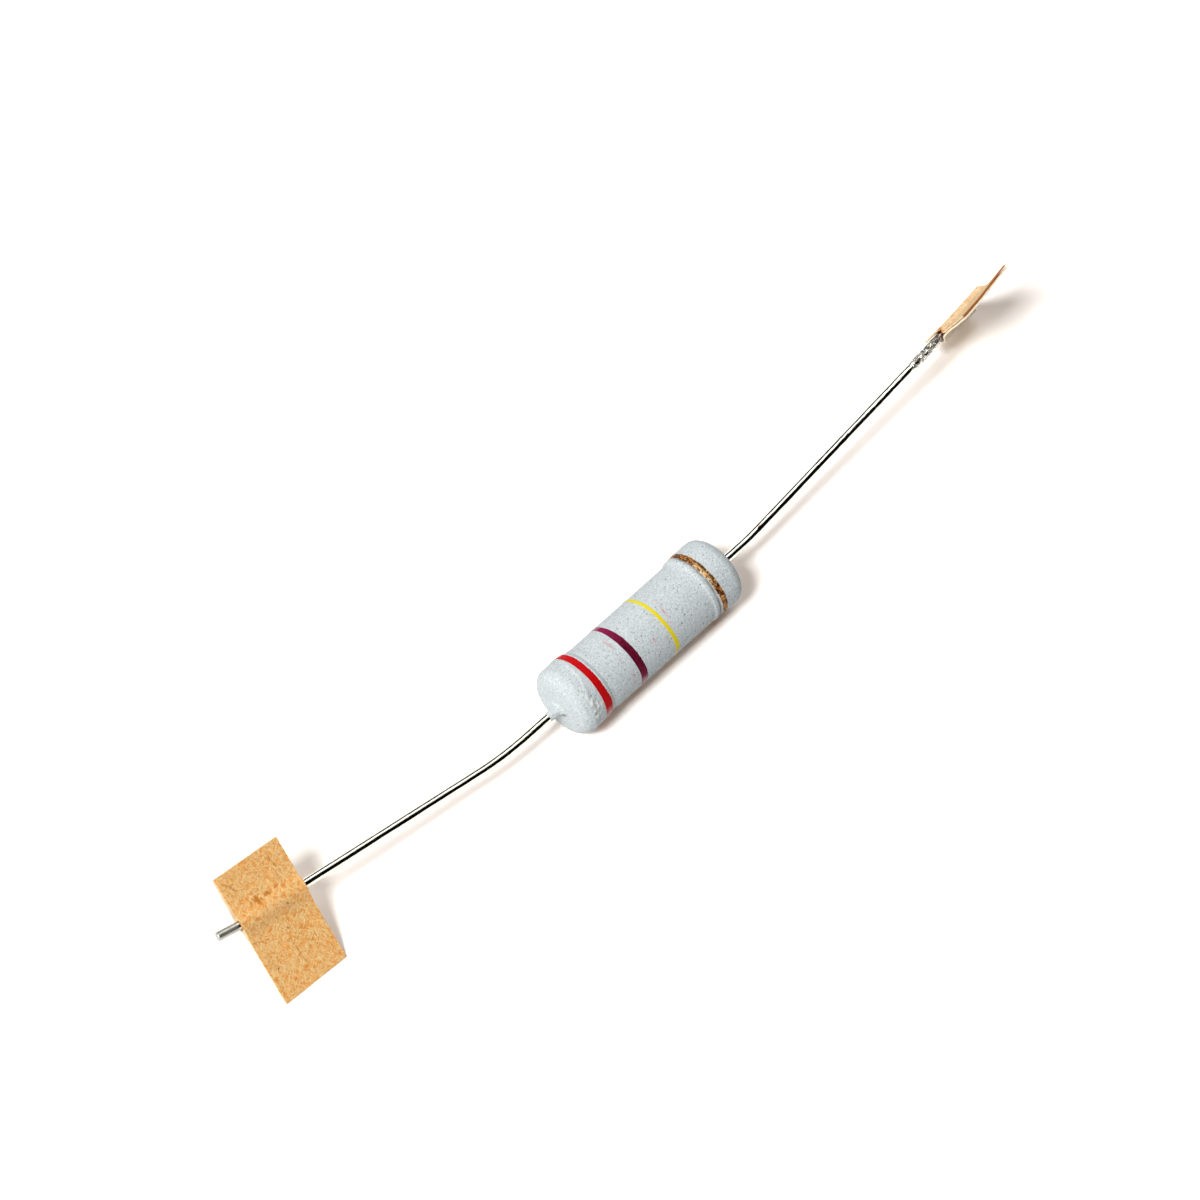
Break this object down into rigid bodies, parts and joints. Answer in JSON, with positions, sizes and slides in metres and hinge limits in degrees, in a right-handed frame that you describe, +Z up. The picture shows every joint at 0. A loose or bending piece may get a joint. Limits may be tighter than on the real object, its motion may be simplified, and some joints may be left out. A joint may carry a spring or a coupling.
{
  "type": "axial resistor",
  "caption": "Axial film resistor with a lacquered, waisted body, colour bands and tinned wire leads, each lead end still held in a scrap of its carrier tape.",
  "frame": {"origin": "on the surface that the part lies on, under the middle of the body", "axes": "+X along the body from the red band to the gold band, +Z up from that surface, +Y across the body to the side that both leads bend to"},
  "size_m": [0.0882, 0.0099, 0.0114],
  "materials": {
    "ceramic": "matt fired ceramic",
    "film": "dark satin oxide film",
    "cap_metal": "tin plated, satin",
    "lead_wire": "tinned wire, smooth",
    "lacquer": "grey-blue lacquer, satin and slightly grainy",
    "red_paint": "band paint, satin",
    "violet_paint": "band paint, satin",
    "yellow_paint": "band paint, satin",
    "gold_paint": "metallic band paint, flaky",
    "kraft_paper": "plain kraft paper, matt",
    "backing_paper": "pale backing strip, matt"
  },
  "bodies": {
    "root": {"ceramic_core": "ceramic", "resistive_film": "film", "end_cap_red_side": "cap_metal", "end_cap_gold_side": "cap_metal", "lead_red_side": "lead_wire", "lead_gold_side": "lead_wire", "coating": "lacquer", "band_red": "red_paint", "band_violet": "violet_paint", "band_yellow": "yellow_paint", "band_gold": "gold_paint", "kraft_tape_red_side": "kraft_paper", "backing_tape_red_side": "backing_paper", "kraft_tape_gold_side": "kraft_paper", "backing_tape_gold_side": "backing_paper"}
  },
  "joints": []
}
